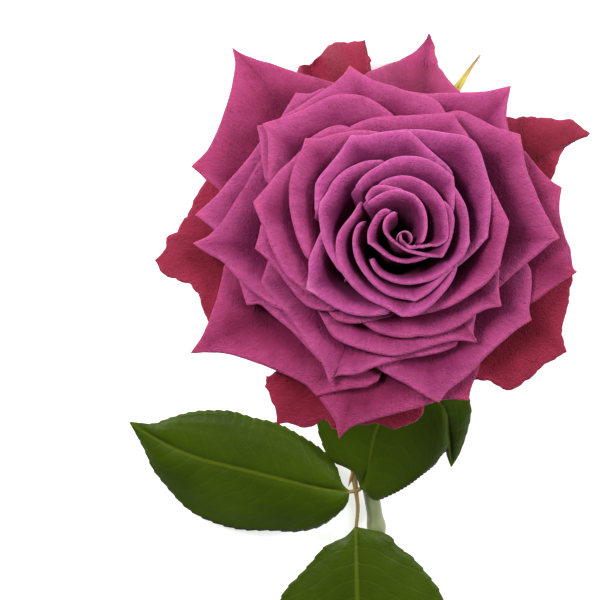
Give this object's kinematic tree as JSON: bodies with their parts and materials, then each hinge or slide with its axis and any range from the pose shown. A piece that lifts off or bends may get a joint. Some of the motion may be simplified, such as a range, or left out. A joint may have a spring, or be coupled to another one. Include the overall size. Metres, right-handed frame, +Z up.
{
  "type": "cut rose",
  "caption": "Cut rose lying on a surface: a full, open bloom of nested petals on a thorny stem with one leaf of toothed leaflets.",
  "frame": {"origin": "on the surface that the rose lies on, under the middle of its whole footprint", "axes": "+Z up from the surface, +Y along the rose from the cut end of the stem to the bloom, +X to the right seen from the cut end"},
  "size_m": [0.1151, 0.3033, 0.0678],
  "materials": {
    "petal": "velvety mauve-pink petal, brighter on the rolled rims and darker in the folds",
    "guard": "crimson outer petal, ragged and a little dry at the rim",
    "leaf": "glossy dark green blade with paler veins",
    "stem": "smooth grey-green bark with red-brown prickles",
    "petiole": "thin stalk, olive turning red-brown",
    "sepal": "soft yellow-green sepal with a brown tip"
  },
  "bodies": {
    "root": {"petal_01": "petal", "petal_02": "petal", "petal_03": "petal", "petal_04": "petal", "petal_05": "petal", "petal_06": "petal", "petal_07": "petal", "petal_08": "petal", "petal_09": "petal", "petal_10": "petal", "petal_11": "petal", "petal_12": "petal", "petal_13": "petal", "petal_14": "petal", "petal_15": "petal", "petal_16": "petal", "petal_17": "petal", "petal_18": "petal", "petal_19": "petal", "petal_20": "petal", "petal_21": "petal", "petal_22": "petal", "petal_23": "petal", "petal_24": "petal", "petal_25": "petal", "petal_26": "petal", "petal_27": "petal", "petal_28": "petal", "petal_29": "petal", "petal_30": "petal", "petal_31": "petal", "petal_32": "petal", "petal_33": "petal", "petal_34": "petal", "petal_35": "petal", "petal_36": "petal", "petal_37": "petal", "petal_38": "petal", "petal_39": "petal", "guard_petal_1": "guard", "guard_petal_2": "guard", "guard_petal_3": "guard", "guard_petal_4": "guard", "guard_petal_5": "guard", "guard_petal_6": "guard", "sepal_1": "sepal", "sepal_2": "sepal", "sepal_3": "sepal", "sepal_4": "sepal", "sepal_5": "sepal", "hip": "stem", "stem": "stem", "petiole": "petiole", "leaflet_left": "leaf", "leaflet_terminal": "leaf", "leaflet_right": "leaf"}
  },
  "joints": []
}
